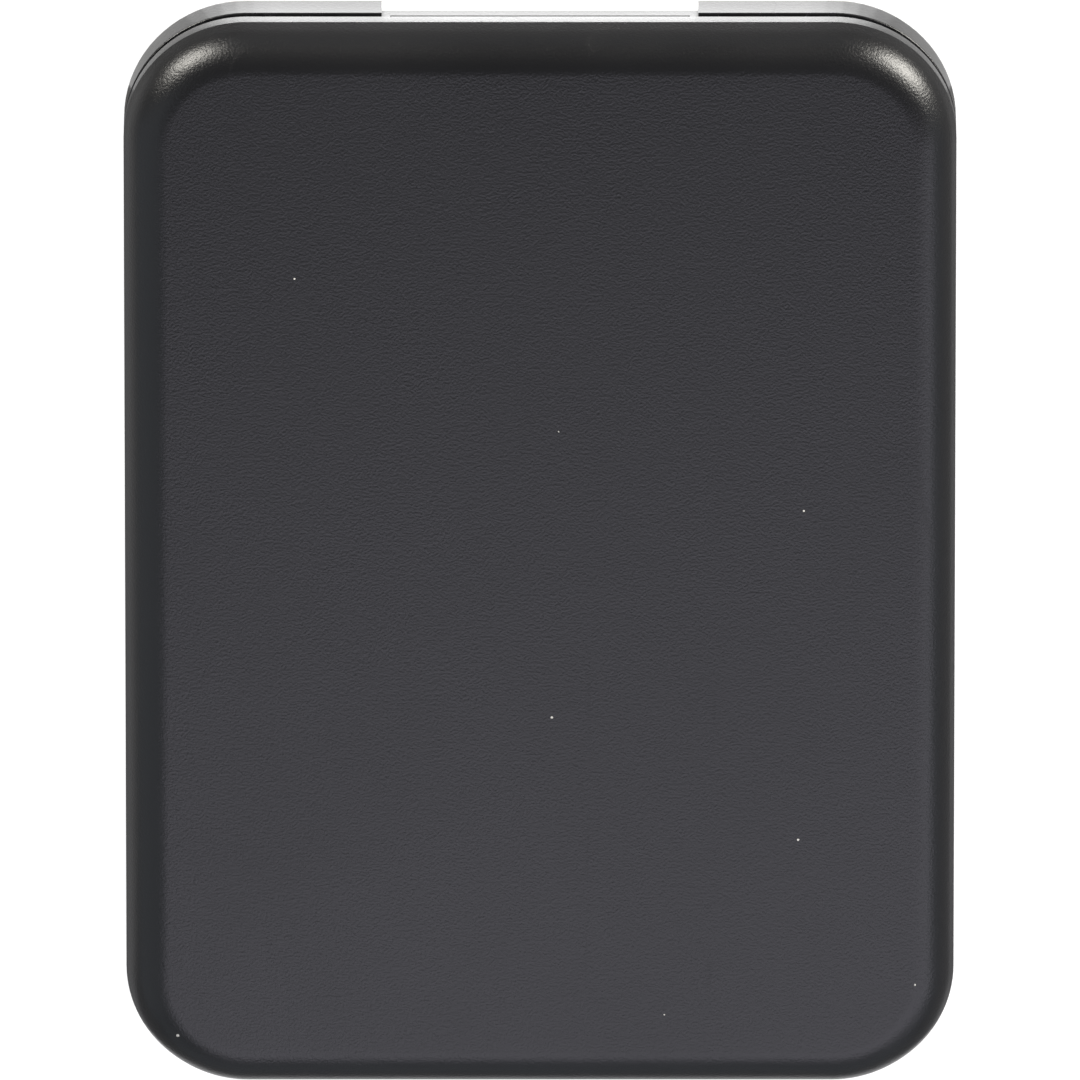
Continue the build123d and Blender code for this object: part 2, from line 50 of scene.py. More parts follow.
# ---- Bottom tray ---------------------------------------------------------------------------
# The lower half of the case, moulded in black ABS with a fine spark texture. Its lip closes the
# seam from inside, and each end has a shallow bay where a connector panel drops in.
tray_low, tray_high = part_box("bottom_tray")
half_width, half_length = tray_high.x, tray_high.y
tray_bottom, lip_top = tray_low.z, tray_high.z
floor_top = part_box("insulating_sheet")[0].z
board_bottom, board_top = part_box("main_board")[0].z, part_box("main_board")[1].z
corner_radius = 11.8 * mm
wall = 2.0 * mm
tray_rim = tray_bottom + 4.65 * mm
bottom_edge_radius = 1.2 * mm
small_edge = 0.15 * mm
inside_corner = 0.35 * mm
lip_setback = 0.9 * mm
core_inset = 8.0 * mm
core_rings = 12
bay_land = 0.8 * mm
bay_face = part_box("probe_port_panel")[1].y
inner_end = half_length - wall
screw_from_side, screw_from_end = 7.5 * mm, 8.0 * mm
screw_places = [(side_x * (half_width - screw_from_side), side_y * (half_length - screw_from_end))
                for side_x in (-1, 1) for side_y in (-1, 1)]
foot_names = ["foot_front_left", "foot_front_right", "foot_rear_left", "foot_rear_right"]


def rounded_outline(half_x, half_y, radius, corner_steps=20, side_steps=16):
    """Points and outward directions round a rounded rectangle. A corner is its centre plus the
    radius times the cosine and sine of an angle, and a side is a straight mix of its two ends."""
    points, outward = [], []
    signs = [(1, 1), (-1, 1), (-1, -1), (1, -1)]
    for turn, (side_x, side_y) in enumerate(signs):
        angle = np.linspace(turn, turn + 1, corner_steps) * math.pi / 2
        direction = np.stack([np.cos(angle), np.sin(angle)], 1)
        centre = np.array([side_x * (half_x - radius), side_y * (half_y - radius)])
        next_x, next_y = signs[(turn + 1) % 4]
        following = np.array([next_x * (half_x - radius), next_y * (half_y - radius)])
        share = np.linspace(0, 1, side_steps + 2)[1:-1, None]
        side = centre + radius * direction[-1] + share * (following - centre)
        points += [centre + radius * direction, side]
        outward += [direction, np.repeat(direction[-1:], side_steps, 0)]
    return np.concatenate(points), np.concatenate(outward)


def round_outline(radius, steps=48):
    """Points and outward directions round a circle: the radius times the cosine and sine."""
    angle = np.linspace(0, 2 * math.pi, steps, endpoint=False)
    direction = np.stack([np.cos(angle), np.sin(angle)], 1)
    return radius * direction, direction


def rings(outline, profile, middle=(0.0, 0.0)):
    """Closed surface of a profile carried round an outline. A profile row is inset, height and
    share: the ring's points are (outline - inset * outward) * share, at that height, and a fan
    of triangles closes the first and the last ring on the middle."""
    points, outward = outline
    inset, height, share = np.asarray(profile, float).T
    flat = (points[None] - inset[:, None, None] * outward[None]) * share[:, None, None]
    levels = np.broadcast_to(height[:, None, None], flat.shape[:2] + (1,))
    grid = np.concatenate([flat, levels], 2).reshape(-1, 3)
    count = len(points)
    index = np.arange(len(grid)).reshape(-1, count)
    after = np.roll(index, -1, 1)
    quads = np.stack([index[:-1], after[:-1], after[1:], index[1:]], -1).reshape(-1, 4)
    poles = np.array([[0, 0, height[0]], [0, 0, height[-1]]])
    low_fan = np.stack([np.full(count, len(grid)), after[0], index[0]], 1)
    high_fan = np.stack([np.full(count, len(grid) + 1), index[-1], after[-1]], 1)
    whole = np.concatenate([grid, poles]) + np.array([middle[0], middle[1], 0.0])
    return whole, quads.tolist() + low_fan.tolist() + high_fan.tolist()


def bend(centre, radius, start, end, steps=6):
    """Profile rows round a centre (inset, height): the inset falls with the cosine of an angle in
    degrees and the height grows with its sine."""
    angle = np.radians(np.linspace(start, end, steps))
    inset = centre[0] - radius * np.cos(angle)
    height = centre[1] + radius * np.sin(angle)
    return [(i, h, 1.0) for i, h in zip(inset, height)]


def core(height, outwards):
    """Profile rows of a flat middle: the innermost ring shrunk by even steps to near its centre."""
    shares = np.linspace(0.05, 1, core_rings)
    rows = [(core_inset, height, share) for share in shares]
    return rows if outwards else rows[::-1]


def block(low, high):
    """Plain box between two opposite corners, used only to cut or join."""
    corners = [(x, y, z) for x in (low[0], high[0]) for y in (low[1], high[1])
               for z in (low[2], high[2])]
    sides = [(0, 1, 3, 2), (4, 6, 7, 5), (0, 4, 5, 1), (2, 3, 7, 6), (0, 2, 6, 4), (1, 5, 7, 3)]
    return np.array(corners), [list(side) for side in sides]


def add_mesh(name, *surfaces):
    """Object with one mesh of all the given surfaces, turned so that every face points out."""
    points, faces, used = [], [], 0
    for surface_points, surface_faces in surfaces:
        points.append(surface_points)
        faces += [[corner + used for corner in face] for face in surface_faces]
        used += len(surface_points)
    mesh = bpy.data.meshes.new(name)
    mesh.from_pydata(np.concatenate(points), [], faces)
    shape = bmesh.new()
    shape.from_mesh(mesh)
    bmesh.ops.recalc_face_normals(shape, faces=shape.faces)
    shape.to_mesh(mesh)
    shape.free()
    made = bpy.data.objects.new(name, mesh)
    bpy.context.scene.collection.objects.link(made)
    return made


def settle(piece):
    """Applies a piece's modifiers to its mesh."""
    graph = bpy.context.evaluated_depsgraph_get()
    solid = bpy.data.meshes.new_from_object(piece.evaluated_get(graph))
    piece.modifiers.clear()
    piece.data = solid


def carve(piece, operation, name, *surfaces):
    """Joins surfaces to a piece, or cuts them out of it."""
    tool = add_mesh(name, *surfaces)
    step = piece.modifiers.new(name, "BOOLEAN")
    step.operation = operation
    step.solver = "EXACT"
    step.object = tool
    settle(piece)
    bpy.data.objects.remove(tool)


def soften(piece, width, angle=35.0, segments=2):
    """Gives each sharp edge of a piece a small radius and evens out its shading."""
    piece.data.shade_smooth()
    edge = piece.modifiers.new("edge_radius", "BEVEL")
    edge.width = width
    edge.segments = segments
    edge.limit_method = "ANGLE"
    edge.angle_limit = math.radians(angle)
    edge.use_clamp_overlap = True
    edge.harden_normals = True
    even = piece.modifiers.new("even_shading", "WEIGHTED_NORMAL")
    even.keep_sharp = True


def place(piece, material, body, slot, *stands_for):
    """Gives a new piece its material, its body and the nodes it stands for. The slot argument is not
    used.
    """
    piece.data.materials.clear()
    piece.data.materials.append(material)
    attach(piece, body)
    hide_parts(*stands_for)


def add_node(tree, kind, inputs=(), **settings):
    """Adds a node. inputs maps a socket to a constant or to another node's output."""
    made = tree.nodes.new(kind)
    for key, value in settings.items():
        setattr(made, key, value)
    for key, value in dict(inputs).items():
        if isinstance(value, bpy.types.NodeSocket):
            tree.links.new(value, made.inputs[key])
        else:
            made.inputs[key].default_value = value
    return made


def sums(tree, operation, first, second):
    """One Math node's output."""
    return add_node(tree, "ShaderNodeMath", {0: first, 1: second}, operation=operation).outputs[0]


def spread(tree, value, low, high, new_low, new_high):
    """Carries a value from one range to another, held at both ends."""
    ranged = add_node(tree, "ShaderNodeMapRange", {"Value": value, "From Min": low, "From Max": high,
                                                   "To Min": new_low, "To Max": new_high})
    return ranged.outputs["Result"]


def tint(tree, factor, first, second):
    """Mixes two colours."""
    mixed = add_node(tree, "ShaderNodeMix", data_type="RGBA")
    for place_in, value in ((0, factor), (6, first), (7, second)):
        socket = mixed.inputs[place_in]
        if isinstance(value, bpy.types.NodeSocket):
            tree.links.new(value, socket)
        else:
            socket.default_value = value
    return mixed.outputs[2]


def new_effect(name, inputs, outputs):
    """Empty shader node group with named inputs, with their defaults, and named outputs."""
    effect = bpy.data.node_groups.new(name, "ShaderNodeTree")
    for socket, (kind, default) in inputs.items():
        made = effect.interface.new_socket(socket, in_out="INPUT", socket_type=kind)
        if default is not None:
            made.default_value = default
    for socket in outputs:
        effect.interface.new_socket(socket, in_out="OUTPUT", socket_type="NodeSocketFloat")
    given = effect.nodes.new("NodeGroupInput")
    result = effect.nodes.new("NodeGroupOutput")
    return effect, given.outputs, result.inputs


def grain_effect():
    """Moulded texture: small soft cells with finer grit on them, and broad patches of tone."""
    effect, given, result = new_effect(
        "moulded_grain",
        {"Place": ("NodeSocketVector", None), "Grain": ("NodeSocketFloat", 0.0004),
         "Patch": ("NodeSocketFloat", 0.02)},
        ["Height", "Mottle"])
    fine = sums(effect, "DIVIDE", 1.0, given["Grain"])
    broad = sums(effect, "DIVIDE", 1.0, given["Patch"])
    cells = add_node(effect, "ShaderNodeTexNoise", {"Vector": given["Place"], "Scale": fine,
                                                    "Detail": 2.0, "Roughness": 0.45})
    grit = add_node(effect, "ShaderNodeTexNoise", {"Vector": given["Place"],
                                                   "Scale": sums(effect, "MULTIPLY", fine, 3.1),
                                                   "Detail": 1.0, "Roughness": 0.5})
    patches = add_node(effect, "ShaderNodeTexNoise", {"Vector": given["Place"], "Scale": broad,
                                                      "Detail": 3.0, "Roughness": 0.5})
    coarse = sums(effect, "MULTIPLY", cells.outputs[0], 0.72)
    both = sums(effect, "ADD", coarse, sums(effect, "MULTIPLY", grit.outputs[0], 0.28))
    effect.links.new(both, result["Height"])
    effect.links.new(patches.outputs[0], result["Mottle"])
    return effect


def speck_effect():
    """Dust: one dot in some cells of a scattered pattern, only where a surface faces up."""
    effect, given, result = new_effect(
        "dust_specks",
        {"Place": ("NodeSocketVector", None), "Spacing": ("NodeSocketFloat", 0.012),
         "Radius": ("NodeSocketFloat", 0.0001), "Share": ("NodeSocketFloat", 0.2)},
        ["Mask"])
    scale = sums(effect, "DIVIDE", 1.0, given["Spacing"])
    dots = add_node(effect, "ShaderNodeTexVoronoi", {"Vector": given["Place"], "Scale": scale},
                    voronoi_dimensions="2D")
    chance = add_node(effect, "ShaderNodeSeparateColor", {"Color": dots.outputs["Color"]})
    size = sums(effect, "MULTIPLY", given["Radius"], sums(effect, "ADD", chance.outputs[1], 0.5))
    near = sums(effect, "LESS_THAN", sums(effect, "DIVIDE", dots.outputs["Distance"], scale), size)
    kept = sums(effect, "LESS_THAN", chance.outputs[0], given["Share"])
    facing = add_node(effect, "ShaderNodeTexCoord")
    upward = add_node(effect, "ShaderNodeSeparateXYZ", {"Vector": facing.outputs["Normal"]})
    level = sums(effect, "GREATER_THAN", upward.outputs[2], 0.9)
    dot = sums(effect, "MULTIPLY", near, kept)
    effect.links.new(sums(effect, "MULTIPLY", dot, level), result["Mask"])
    return effect


def ridge_effect():
    """Wear along a level edge: strongest at its height and broken up by a noise."""
    effect, given, result = new_effect(
        "ridge_wear",
        {"Place": ("NodeSocketVector", None), "Level": ("NodeSocketFloat", 0.0),
         "Width": ("NodeSocketFloat", 0.0003)},
        ["Mask"])
    height = add_node(effect, "ShaderNodeSeparateXYZ", {"Vector": given["Place"]}).outputs[2]
    off = sums(effect, "ABSOLUTE", sums(effect, "SUBTRACT", height, given["Level"]), 0.0)
    near = sums(effect, "SUBTRACT", 1.0, sums(effect, "DIVIDE", off, given["Width"]))
    chips = add_node(effect, "ShaderNodeTexNoise", {"Vector": given["Place"], "Scale": 900.0,
                                                    "Detail": 4.0, "Roughness": 0.6})
    broken = spread(effect, chips.outputs[0], 0.5, 0.68, 0.0, 1.0)
    inside = add_node(effect, "ShaderNodeClamp", {"Value": near}).outputs[0]
    effect.links.new(sums(effect, "MULTIPLY", inside, broken), result["Mask"])
    return effect


def scratch_effect():
    """Hairline scratches: the thin zero lines of a long stretched noise, kept in some patches."""
    effect, given, result = new_effect(
        "hairlines", {"Place": ("NodeSocketVector", None), "Density": ("NodeSocketFloat", 60.0)},
        ["Mask"])
    turned = add_node(effect, "ShaderNodeMapping", {"Vector": given["Place"],
                                                    "Rotation": (0.3, 0.2, 0.9),
                                                    "Scale": (1.0, 0.06, 1.0)})
    lines = add_node(effect, "ShaderNodeTexNoise", {"Vector": turned.outputs[0],
                                                    "Scale": given["Density"], "Detail": 2.0})
    centred = sums(effect, "ABSOLUTE", sums(effect, "SUBTRACT", lines.outputs[0], 0.5), 0.0)
    thin = spread(effect, centred, 0.0, 0.004, 1.0, 0.0)
    patch = add_node(effect, "ShaderNodeTexNoise", {"Vector": given["Place"], "Scale": 90.0})
    kept = spread(effect, patch.outputs[0], 0.56, 0.64, 0.0, 1.0)
    effect.links.new(sums(effect, "MULTIPLY", thin, kept), result["Mask"])
    return effect


grain, specks, ridge, hairlines = grain_effect(), speck_effect(), ridge_effect(), scratch_effect()


def new_material(name, constants):
    """Material whose main shader has the given constants on its own sockets. Returns the material,
    its tree, its shader and the object coordinates."""
    material = bpy.data.materials.new(name)
    material.use_nodes = True
    tree = material.node_tree
    shader = tree.nodes["Principled BSDF"]
    for socket, value in constants.items():
        shader.inputs[socket].default_value = value
    where = tree.nodes.new("ShaderNodeTexCoord").outputs["Object"]
    return material, tree, shader, where


def effect_node(tree, effect, inputs):
    """Places a shared effect in a material."""
    made = add_node(tree, "ShaderNodeGroup", node_tree=effect)
    for key, value in inputs.items():
        if isinstance(value, bpy.types.NodeSocket):
            tree.links.new(value, made.inputs[key])
        else:
            made.inputs[key].default_value = value
    return made.outputs


def raise_bump(tree, shader, height, strength, distance):
    """Feeds a height through a Bump node to the shader's normal."""
    bump = add_node(tree, "ShaderNodeBump",
                    {"Height": height, "Strength": strength, "Distance": distance})
    tree.links.new(bump.outputs[0], shader.inputs["Normal"])


def black_plastic(name, tone, roughness, grain_size, depth, ridge_level, dusty=0.0):
    """Spark-textured black plastic: toned patches, worn ridge, dust, hairlines and grain."""
    material, tree, shader, where = new_material(name, {"IOR": 1.5})
    texture = effect_node(tree, grain, {"Place": where, "Grain": grain_size, "Patch": 0.018})
    worn = effect_node(tree, ridge, {"Place": where, "Level": ridge_level})["Mask"]
    dust = effect_node(tree, specks, {"Place": where, "Share": dusty})["Mask"]
    lines = effect_node(tree, hairlines, {"Place": where})["Mask"]
    darker = tuple(0.88 * part for part in tone) + (1.0,)
    lighter = tuple(1.12 * part for part in tone) + (1.0,)
    scuffed = tuple(4.0 * part for part in tone) + (1.0,)
    patchy = tint(tree, texture["Mottle"], darker, lighter)
    rubbed = tint(tree, sums(tree, "MULTIPLY", worn, 0.5), patchy, scuffed)
    dusted = tint(tree, dust, rubbed, (0.55, 0.54, 0.5, 1.0))
    tree.links.new(dusted, shader.inputs["Base Color"])
    satin = spread(tree, texture["Mottle"], 0.3, 0.7, roughness - 0.02, roughness + 0.02)
    polished = sums(tree, "SUBTRACT", satin, sums(tree, "MULTIPLY", worn, 0.1))
    marked = sums(tree, "ADD", polished, sums(tree, "MULTIPLY", lines, 0.06))
    dull = sums(tree, "ADD", marked, sums(tree, "MULTIPLY", dust, 0.4))
    tree.links.new(dull, shader.inputs["Roughness"])
    raise_bump(tree, shader, texture["Height"], 1.0, depth)
    return material


def bay_blocks(bay_half, side, y_low, z_low, inset):
    """Block across an end bay, from a plane y_low out past the end, on the +Y or the -Y side."""
    near, far = sorted((side * y_low, side * (half_length + beyond)))
    half_x = bay_half - inset
    return block((-half_x, near, z_low), (half_x, far, lip_top + beyond))


def tray_shell():
    """The tray's profile, from under its middle, round its wall and lip and back over its floor."""
    level = tray_bottom + bottom_edge_radius
    profile = core(tray_bottom, True)
    profile += bend((bottom_edge_radius, level), bottom_edge_radius, -90, 0, 10)
    profile += bend((small_edge, tray_rim - small_edge), small_edge, 0, 90)
    profile += [(lip_setback, tray_rim, 1.0)]
    profile += bend((lip_setback + small_edge, lip_top - small_edge), small_edge, 0, 90)
    profile += bend((wall - small_edge, lip_top - small_edge), small_edge, 90, 180)
    profile += bend((wall + inside_corner, floor_top + inside_corner), -inside_corner, 180, 90)
    profile += core(floor_top, False)
    return rings(rounded_outline(half_width, half_length, corner_radius), profile)


def disc(radius, low, high, middle):
    """Upright cylinder."""
    return rings(round_outline(radius), [(0.0, low, 1.0), (0.0, high, 1.0)], middle)


tray = add_mesh("tray_shell", tray_shell())
boss_radius, post_radius, post_x = 3.5 * mm, 1.5 * mm, 22.0 * mm
sunk = 0.5 * mm
supports = [disc(boss_radius, floor_top - sunk, board_bottom, place_xy) for place_xy in screw_places]
supports += [disc(post_radius, floor_top - sunk, board_bottom, (side * post_x, 0.0)) for side in (-1, 1)]
rib_half_width, rib_depth, flange_middle = 0.6 * mm, 0.9 * mm, 0.8 * mm
panel_thickness, panel_gap = 1.8 * mm, 0.1 * mm
probe_bay_half, usb_bay_half = 15.2 * mm, 17.0 * mm
bays = [(probe_bay_half, 1), (usb_bay_half, -1)]
rib_back = bay_face - panel_thickness - panel_gap
beyond = 1 * mm
for bay_half, end in bays:
    for side in (-1, 1):
        rib_x = side * (bay_half - bay_land + flange_middle)
        near, far = sorted((end * (rib_back - rib_depth), end * rib_back))
        supports.append(block((rib_x - rib_half_width, near, floor_top - sunk),
                              (rib_x + rib_half_width, far, board_bottom - panel_gap)))
carve(tray, "UNION", "supports", *supports)
carve(tray, "DIFFERENCE", "bay_recesses",
      *[bay_blocks(bay_half, end, bay_face, tray_bottom - beyond, 0.0) for bay_half, end in bays])
carve(tray, "DIFFERENCE", "bay_windows",
      *[bay_blocks(bay_half, end, inner_end - beyond, floor_top, bay_land) for bay_half, end in bays])
lead_in = 0.2 * mm
sill_half = probe_bay_half - bay_land
wedge = [(lead_in, -2 * lead_in), (lead_in, lead_in), (-2 * lead_in, lead_in)]
ramp = np.array([(x, bay_face + over, floor_top + rise) for x in (-sill_half, sill_half)
                 for over, rise in wedge])
ramp_sides = [[0, 1, 2], [5, 4, 3], [0, 3, 4, 1], [1, 4, 5, 2], [2, 5, 3, 0]]
carve(tray, "DIFFERENCE", "lead_in", (ramp, ramp_sides))
hole_radius, counterbore_radius, counterbore_depth = 1.4 * mm, 2.5 * mm, 1.7 * mm
stepped = [(0.0, tray_bottom - beyond, 1.0), (0.0, tray_bottom + counterbore_depth, 1.0),
           (counterbore_radius - hole_radius, tray_bottom + counterbore_depth, 1.0),
           (counterbore_radius - hole_radius, board_bottom + beyond, 1.0)]
foot_recess, label_recess, room = 0.5 * mm, 0.25 * mm, 0.15 * mm
holes = [rings(round_outline(counterbore_radius), stepped, place_xy) for place_xy in screw_places]
for name in foot_names:
    foot_low, foot_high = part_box(name)
    middle = (foot_low + foot_high) / 2
    radius = (foot_high.x - foot_low.x) / 2 + room
    holes.append(disc(radius, tray_bottom - beyond, tray_bottom + foot_recess, (middle.x, middle.y)))
label_low, label_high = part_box("blank_label")
label_corner = 1.5 * mm
label_room = rounded_outline(label_high.x + room, label_high.y + room, label_corner, 10, 1)
holes.append(rings(label_room, [(0.0, tray_bottom - beyond, 1.0),
                                (0.0, tray_bottom + label_recess, 1.0)]))
carve(tray, "DIFFERENCE", "holes", *holes)
soften(tray, 0.1 * mm)
case_black = (0.0052, 0.0053, 0.0062)
tray_plastic = black_plastic("tray_plastic", case_black, 0.3, 0.36 * mm, 0.03 * mm, tray_rim)
place(tray, tray_plastic, "case", "tray_shell", "bottom_tray")


# ---- Feet ----------------------------------------------------------------------------------
# Four round stick-on feet of soft black rubber, pressed into shallow recesses. Each has a
# rounded lower edge and the small dimple that its mould leaves in the middle.
def foot_surface(low, high):
    """Foot from its dimpled underside, round its lower edge and up its side."""
    radius = (high.x - low.x) / 2
    edge, dimple, depth = 0.35 * mm, 0.8 * mm, 0.1 * mm
    profile = [(radius - 0.3 * dimple, low.z + depth, 1.0), (radius - 0.7 * dimple, low.z + depth, 1.0),
               (radius - dimple, low.z, 1.0)]
    profile += bend((edge, low.z + edge), edge, -90, 0)
    profile += [(0.0, high.z - small_edge, 1.0), (small_edge, high.z, 1.0)]
    return rings(round_outline(radius, 64), profile, ((low.x + high.x) / 2, (low.y + high.y) / 2))


def rubber_material():
    """Matt rubber with a soft grain and paler dust ground into its surface."""
    material, tree, shader, where = new_material("foot_rubber", {"IOR": 1.45, "Sheen Weight": 0.1})
    texture = effect_node(tree, grain, {"Place": where, "Grain": 0.25 * mm, "Patch": 4 * mm})
    colour = tint(tree, texture["Mottle"], (0.012, 0.012, 0.012, 1.0), (0.03, 0.03, 0.029, 1.0))
    tree.links.new(colour, shader.inputs["Base Color"])
    tree.links.new(spread(tree, texture["Mottle"], 0.3, 0.7, 0.62, 0.8), shader.inputs["Roughness"])
    raise_bump(tree, shader, texture["Height"], 0.7, 0.01 * mm)
    return material


rubber = rubber_material()
for name in foot_names:
    foot = add_mesh(name.replace("foot", "rubber_foot"), foot_surface(*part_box(name)))
    soften(foot, 0.05 * mm)
    place(foot, rubber, "case", "foot_rubber", name)


# ---- Blank label ---------------------------------------------------------------------------
# A blank rating label of silver polyester film, stuck into its recess under the tray. It has a
# fine brushed print and nothing written on it.
def label_surface():
    """Thin rounded plate with slightly rolled edges."""
    edge = 0.05 * mm
    profile = [(label_corner * 0.9, label_low.z, share) for share in (0.1, 0.5, 1.0)]
    profile += bend((edge, label_low.z + edge), edge, -90, 0, 4)
    profile += bend((edge, label_high.z - edge), edge, 0, 90, 4)
    profile += [(label_corner * 0.9, label_high.z, share) for share in (1.0, 0.5, 0.1)]
    return rings(rounded_outline(label_high.x, label_high.y, label_corner - room, 10, 6), profile)


def label_material():
    """Silver film with fine lines that run along its length."""
    material, tree, shader, where = new_material("label_film", {"Metallic": 0.6, "IOR": 1.5})
    drawn = add_node(tree, "ShaderNodeMapping", {"Vector": where, "Scale": (0.02, 1.0, 1.0)})
    texture = effect_node(tree, grain, {"Place": drawn.outputs[0], "Grain": 0.12 * mm, "Patch": 6 * mm})
    colour = tint(tree, texture["Height"], (0.5, 0.5, 0.49, 1.0), (0.68, 0.68, 0.67, 1.0))
    tree.links.new(colour, shader.inputs["Base Color"])
    tree.links.new(spread(tree, texture["Mottle"], 0.3, 0.7, 0.34, 0.48), shader.inputs["Roughness"])
    raise_bump(tree, shader, texture["Height"], 0.4, 0.003 * mm)
    return material


label = add_mesh("label_film", label_surface())
soften(label, 0.01 * mm)
place(label, label_material(), "case", "label", "blank_label")


# ---- Case screws and inserts ---------------------------------------------------------------
# Four M2.5 socket screws in black zinc go up through the tray into knurled brass inserts that
# are pressed into the cover's pillars.
def eased(node, width, material, slot, body="case"):
    """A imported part's shape with its flat triangles joined and its sharp edges rounded."""
    shape = bmesh.new()
    shape.from_mesh(nodes[node].data)
    bmesh.ops.remove_doubles(shape, verts=shape.verts, dist=1e-7)
    bmesh.ops.dissolve_limit(shape, angle_limit=math.radians(0.6), verts=shape.verts, edges=shape.edges)
    mesh = bpy.data.meshes.new(f"{node}_eased")
    shape.to_mesh(mesh)
    shape.free()
    if mesh.attributes.get("custom_normal"):
        mesh.attributes.remove(mesh.attributes["custom_normal"])
    piece = bpy.data.objects.new(f"{node}_eased", mesh)
    bpy.context.scene.collection.objects.link(piece)
    soften(piece, width)
    place(piece, material, body, slot, node)
    return piece


def metal(name, dark, light, roughness, grain_size, depth):
    """Bare or plated metal: toned patches, uneven polish and a fine surface."""
    material, tree, shader, where = new_material(name, {"Metallic": 1.0})
    texture = effect_node(tree, grain, {"Place": where, "Grain": grain_size, "Patch": 2.5 * mm})
    lines = effect_node(tree, hairlines, {"Place": where, "Density": 200.0})["Mask"]
    colour = tint(tree, texture["Mottle"], dark + (1.0,), light + (1.0,))
    tree.links.new(colour, shader.inputs["Base Color"])
    uneven = spread(tree, texture["Mottle"], 0.3, 0.7, roughness - 0.06, roughness + 0.06)
    scratched = sums(tree, "ADD", uneven, sums(tree, "MULTIPLY", lines, 0.15))
    tree.links.new(scratched, shader.inputs["Roughness"])
    raise_bump(tree, shader, texture["Height"], 0.5, depth)
    return material


def paint(node, material):
    """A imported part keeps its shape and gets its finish."""
    nodes[node].data.materials.clear()
    nodes[node].data.materials.append(material)


black_zinc = metal("black_zinc", (0.06, 0.06, 0.065), (0.11, 0.11, 0.115), 0.36, 0.15 * mm, 0.003 * mm)
brass = metal("turned_brass", (0.62, 0.42, 0.16), (0.78, 0.56, 0.25), 0.28, 0.1 * mm, 0.004 * mm)
eased("case_screws", 0.08 * mm, black_zinc, "screw_steel")
eased("threaded_inserts", 0.05 * mm, brass, "insert_brass")


# ---- Insulating sheet ----------------------------------------------------------------------
# A sheet of amber polyester film that lies on the floor and keeps the solder joints off it.
def film_material():
    """Amber film with broad ripples and a hazy surface."""
    material, tree, shader, where = new_material("insulating_film", {"IOR": 1.57, "Coat Weight": 0.2})
    texture = effect_node(tree, grain, {"Place": where, "Grain": 3 * mm, "Patch": 15 * mm})
    colour = tint(tree, texture["Mottle"], (0.5, 0.2, 0.035, 1.0), (0.66, 0.31, 0.07, 1.0))
    tree.links.new(colour, shader.inputs["Base Color"])
    tree.links.new(spread(tree, texture["Mottle"], 0.3, 0.7, 0.2, 0.35), shader.inputs["Roughness"])
    raise_bump(tree, shader, texture["Height"], 0.4, 0.05 * mm)
    return material


paint("insulating_sheet", film_material())


# ---- Main board ----------------------------------------------------------------------------
# The glass-fibre circuit board: green solder mask over copper tracks that run both ways,
# with bare resin at its routed edge.
def board_material():
    """Solder mask that is lighter and a little higher where a track runs beneath it."""
    material, tree, shader, where = new_material("solder_mask", {"IOR": 1.52, "Coat Weight": 0.4})
    tracks = []
    for stretch in ((1.0, 0.05, 1.0), (0.05, 1.0, 1.0)):
        along = add_node(tree, "ShaderNodeMapping", {"Vector": where, "Scale": stretch})
        lanes = add_node(tree, "ShaderNodeTexVoronoi", {"Vector": along.outputs[0], "Scale": 700.0},
                         voronoi_dimensions="2D", distance="CHEBYCHEV")
        tracks.append(sums(tree, "LESS_THAN", lanes.outputs["Distance"], 0.28))
    copper = sums(tree, "MAXIMUM", tracks[0], tracks[1])
    texture = effect_node(tree, grain, {"Place": where, "Grain": 0.3 * mm, "Patch": 9 * mm})
    masked = tint(tree, copper, (0.008, 0.055, 0.022, 1.0), (0.02, 0.12, 0.04, 1.0))
    edge_z = add_node(tree, "ShaderNodeSeparateXYZ",
                      {"Vector": tree.nodes.new("ShaderNodeTexCoord").outputs["Normal"]}).outputs[2]
    side = sums(tree, "LESS_THAN", sums(tree, "ABSOLUTE", edge_z, 0.0), 0.5)
    tree.links.new(tint(tree, side, masked, (0.42, 0.38, 0.2, 1.0)), shader.inputs["Base Color"])
    gloss = spread(tree, texture["Mottle"], 0.3, 0.7, 0.25, 0.36)
    rough_side = sums(tree, "MULTIPLY", side, 0.4)
    tree.links.new(sums(tree, "ADD", gloss, rough_side), shader.inputs["Roughness"])
    height = sums(tree, "ADD", copper, sums(tree, "MULTIPLY", texture["Height"], 0.3))
    raise_bump(tree, shader, height, 0.8, 0.02 * mm)
    return material


eased("main_board", 0.05 * mm, board_material(), "board")


# ---- Packages on the board -----------------------------------------------------------------
# Moulded epoxy chips, ceramic and metal cans, ferrite inductors and tantalum capacitors, each
# soldered flat on the board in the rows that its circuit needs.
def package_material(name, dark, light, roughness, grain_size, depth, **constants):
    """Filled moulding or fired ceramic: two tones in patches and a gritty surface."""
    material, tree, shader, where = new_material(name, {key.replace("_", " "): value
                                                        for key, value in constants.items()})
    texture = effect_node(tree, grain, {"Place": where, "Grain": grain_size, "Patch": 1.6 * mm})
    colour = tint(tree, texture["Mottle"], dark + (1.0,), light + (1.0,))
    tree.links.new(colour, shader.inputs["Base Color"])
    uneven = spread(tree, texture["Mottle"], 0.3, 0.7, roughness - 0.05, roughness + 0.05)
    tree.links.new(uneven, shader.inputs["Roughness"])
    raise_bump(tree, shader, texture["Height"], 0.7, depth)
    return material


